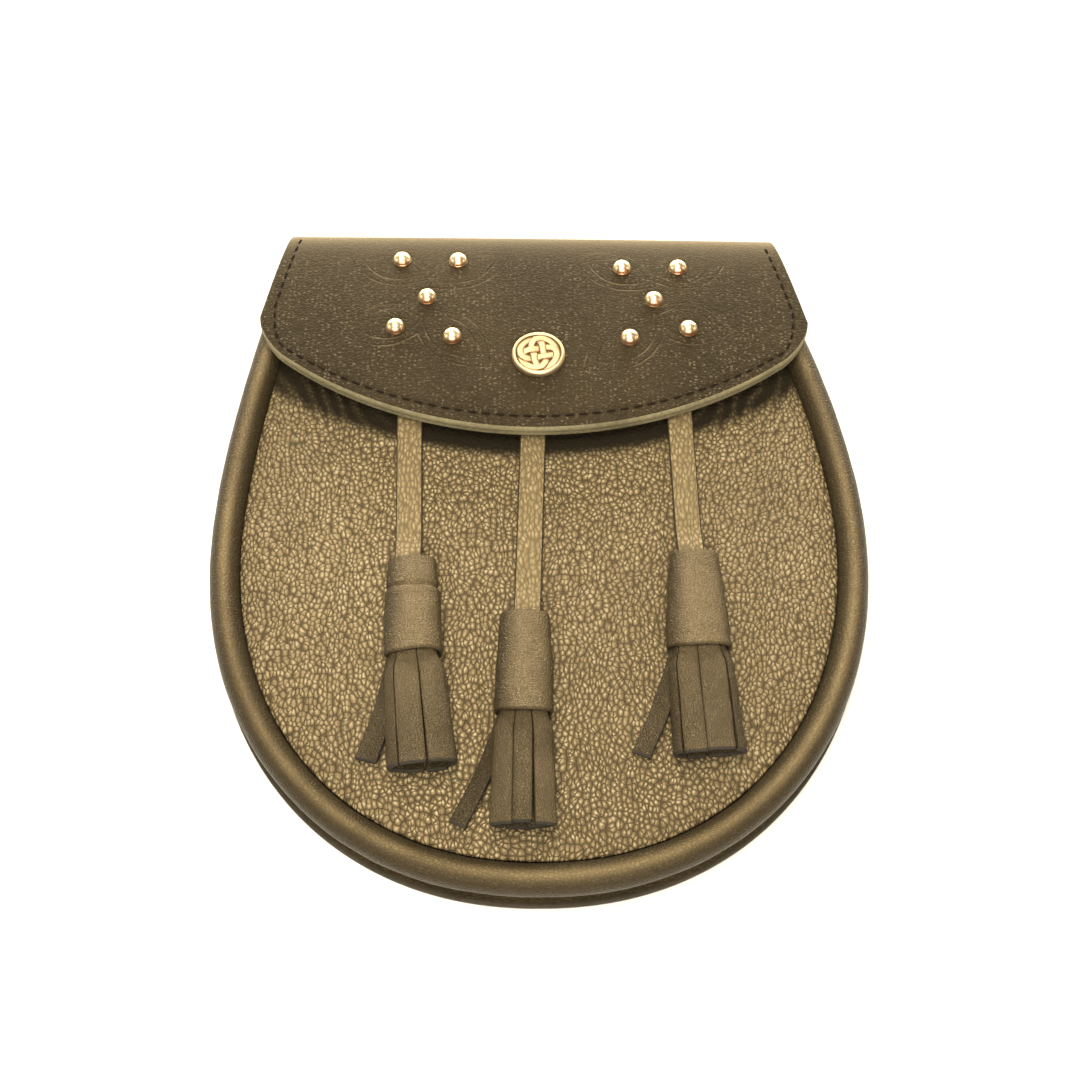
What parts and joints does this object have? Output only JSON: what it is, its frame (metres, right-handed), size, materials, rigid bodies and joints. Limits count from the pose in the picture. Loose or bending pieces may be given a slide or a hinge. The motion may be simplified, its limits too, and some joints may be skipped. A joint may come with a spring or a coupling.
{
  "type": "leather sporran pouch",
  "caption": "Rounded leather day pouch with a studded flap, a round knotwork button, hanging tassels, a corded rim and belt loops on its back.",
  "frame": {"origin": "middle of the footprint on the surface that the pouch lies on, under its back", "axes": "+X to the right seen from the front, +Y from the rounded bottom to the fold of the flap, +Z out of the front"},
  "size_m": [0.1916, 0.2169, 0.0294],
  "materials": {
    "pebbled_leather": "pebbled grain, semi-gloss",
    "smooth_leather": "smooth grain, satin",
    "flap_leather": "fine grain, satin, blind embossed",
    "edge_leather": "cut edge and plain inner leather, matt",
    "strap_leather": "smooth grain, satin",
    "fringe_leather": "fine grain, matt cut edges",
    "pale_gold": "polished, darkened in the recesses"
  },
  "bodies": {
    "root": {"back_panel": "edge_leather", "gusset": "smooth_leather", "front_panel": "pebbled_leather", "front_welt": "smooth_leather", "flap_outer": "flap_leather", "flap_lining": "edge_leather", "stud_left_1": "pale_gold", "stud_left_2": "pale_gold", "stud_left_3": "pale_gold", "stud_left_4": "pale_gold", "stud_left_5": "pale_gold", "stud_right_1": "pale_gold", "stud_right_2": "pale_gold", "stud_right_3": "pale_gold", "stud_right_4": "pale_gold", "stud_right_5": "pale_gold", "concho": "pale_gold", "clasp": "pale_gold", "strap_left": "strap_leather", "strap_centre": "strap_leather", "strap_right": "strap_leather", "wrap_left": "smooth_leather", "wrap_centre": "smooth_leather", "wrap_right": "smooth_leather", "fringe_left": "fringe_leather", "fringe_centre": "fringe_leather", "fringe_right": "fringe_leather", "belt_loop_left": "smooth_leather", "belt_loop_right": "smooth_leather"}
  },
  "joints": []
}
